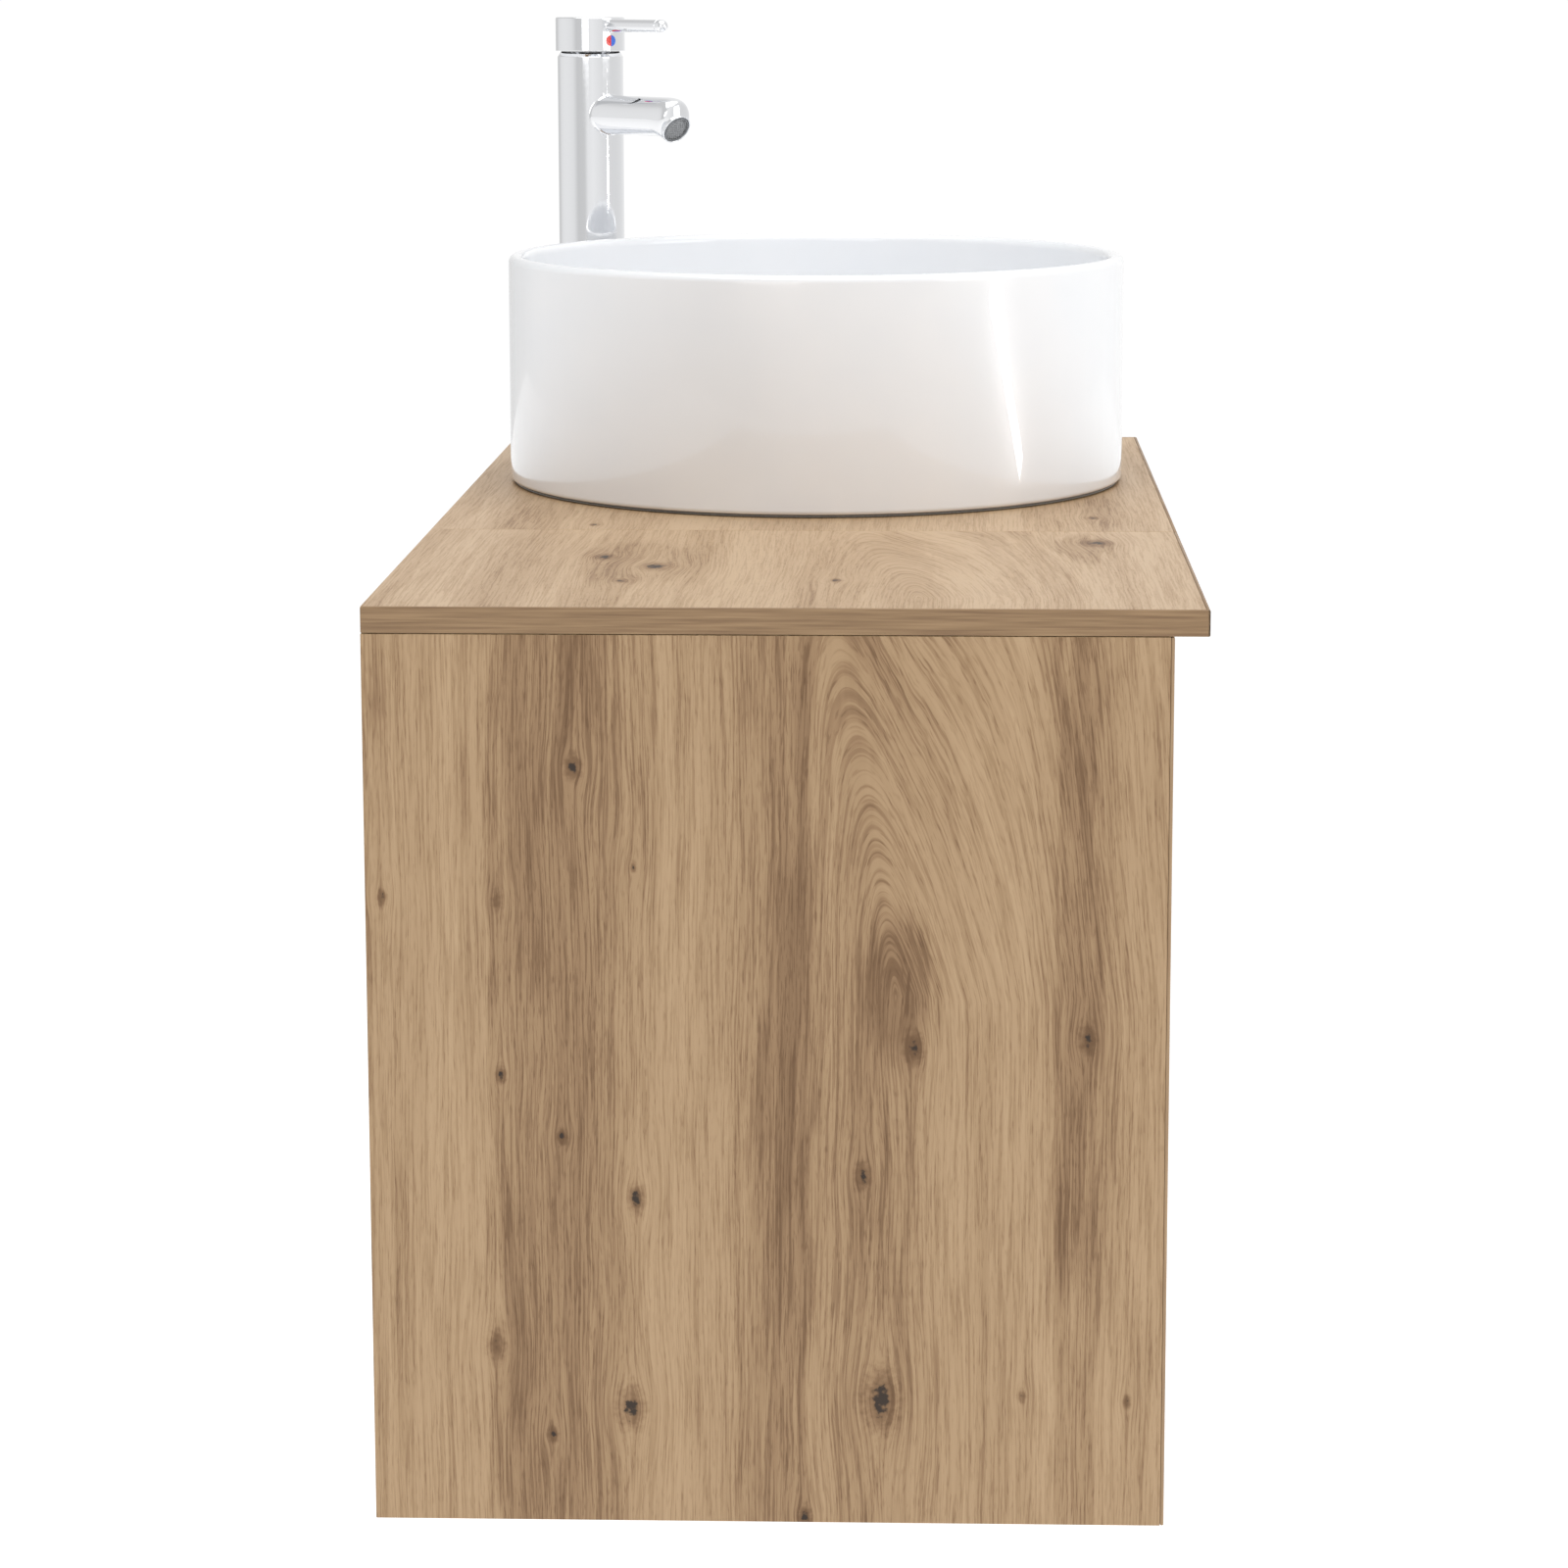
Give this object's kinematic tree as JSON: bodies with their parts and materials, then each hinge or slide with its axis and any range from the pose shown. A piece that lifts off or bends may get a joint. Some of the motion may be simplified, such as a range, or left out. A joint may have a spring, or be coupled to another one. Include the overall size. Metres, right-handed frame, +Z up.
{
  "type": "vessel sink on vanity",
  "caption": "Bathroom vanity with a cupboard and two drawers side by side in oak-look board, a round white counter-top basin, bottle trap and tall single-lever mixer tap.",
  "frame": {"origin": "middle of the footprint (the worktop's 800 x 460 mm outline) at the lowest point of the side panels", "axes": "+Z up, +Y towards the wall, fronts face -Y, +X from the cupboard at the left towards the sink unit at the right as seen from the front"},
  "size_m": [0.8, 0.46, 0.8266],
  "materials": {
    "oak_laminate": "matt printed melamine with a pressed wood grain",
    "drawer_board": "light grey melamine",
    "back_board": "white lacquered fibreboard",
    "glazed_ceramic": "glossy white glaze on sanitary ceramic",
    "seal_rubber": "matt",
    "chrome_plate": "polished",
    "runner_steel": "zinc plated",
    "white_plastic": "moulded polypropylene",
    "grey_plastic": "moulded",
    "index_plastic": "red and blue halves"
  },
  "bodies": {
    "cabinet": {"left_end_panel": "oak_laminate", "cupboard_partition": "oak_laminate", "sink_partition": "oak_laminate", "right_end_panel": "oak_laminate", "cupboard_floor": "oak_laminate", "sink_floor": "oak_laminate", "cupboard_front_rail": "oak_laminate", "sink_front_rail": "oak_laminate", "cupboard_hanging_rail": "oak_laminate", "sink_hanging_rail": "oak_laminate", "cupboard_back": "back_board", "sink_back": "back_board", "cupboard_worktop": "oak_laminate", "sink_worktop": "oak_laminate", "cupboard_shelf": "oak_laminate", "shelf_pin_front_left": "runner_steel", "shelf_pin_front_right": "runner_steel", "shelf_pin_back_left": "runner_steel", "shelf_pin_back_right": "runner_steel", "upper_hinge_arm": "runner_steel", "lower_hinge_arm": "runner_steel", "upper_left_runner": "runner_steel", "upper_right_runner": "runner_steel", "lower_left_runner": "runner_steel", "lower_right_runner": "runner_steel", "basin": "glazed_ceramic", "basin_seal": "seal_rubber", "drain_body": "chrome_plate", "drain_nut": "white_plastic", "trap_body": "white_plastic", "trap_cup": "white_plastic", "trap_outlet": "white_plastic", "tap_body": "chrome_plate", "tap_aerator": "grey_plastic", "tap_cartridge": "white_plastic", "tap_nut": "runner_steel"},
    "door": {"cupboard_door": "oak_laminate", "upper_hinge_cup": "runner_steel", "lower_hinge_cup": "runner_steel"},
    "upper_drawer": {"upper_drawer_front": "oak_laminate", "upper_drawer_left_side": "drawer_board", "upper_drawer_right_side": "drawer_board", "upper_drawer_back_left": "drawer_board", "upper_drawer_back_right": "drawer_board", "upper_drawer_base": "drawer_board", "drawer_trap_guard": "grey_plastic", "upper_left_slider": "runner_steel", "upper_right_slider": "runner_steel"},
    "lower_drawer": {"lower_drawer_front": "oak_laminate", "lower_drawer_left_side": "drawer_board", "lower_drawer_right_side": "drawer_board", "lower_drawer_back": "drawer_board", "lower_drawer_base": "drawer_board", "lower_left_slider": "runner_steel", "lower_right_slider": "runner_steel"},
    "plug": {"drain_plug": "chrome_plate"},
    "mixer_spindle": {"tap_spindle": "runner_steel"},
    "mixer_lever": {"tap_lever": "chrome_plate", "tap_index": "index_plastic"}
  },
  "joints": [
    {"name": "door_hinge", "type": "hinge", "parent": "cabinet", "child": "door", "pos_m": [-0.382, -0.21, 0.2425], "axis": [0, 0, -1], "range_deg": [0, 100]},
    {"name": "upper_drawer_slide", "type": "slide", "parent": "cabinet", "child": "upper_drawer", "axis": [0, -1, 0], "range_m": [0, 0.225]},
    {"name": "lower_drawer_slide", "type": "slide", "parent": "cabinet", "child": "lower_drawer", "axis": [0, -1, 0], "range_m": [0, 0.225]},
    {"name": "plug_lift", "type": "slide", "parent": "cabinet", "child": "plug", "axis": [0, 0, 1], "range_m": [0, 0.008]},
    {"name": "lever_swivel", "type": "hinge", "parent": "cabinet", "child": "mixer_spindle", "pos_m": [0.3499, 0.1686, 0.518], "axis": [0, 0, 1], "range_deg": [-45, 45]},
    {"name": "lever_tilt", "type": "hinge", "parent": "mixer_spindle", "child": "mixer_lever", "pos_m": [0.3499, 0.1686, 0.7925], "axis": [-0.6639, 0.7478, 0], "range_deg": [0, 25]}
  ]
}
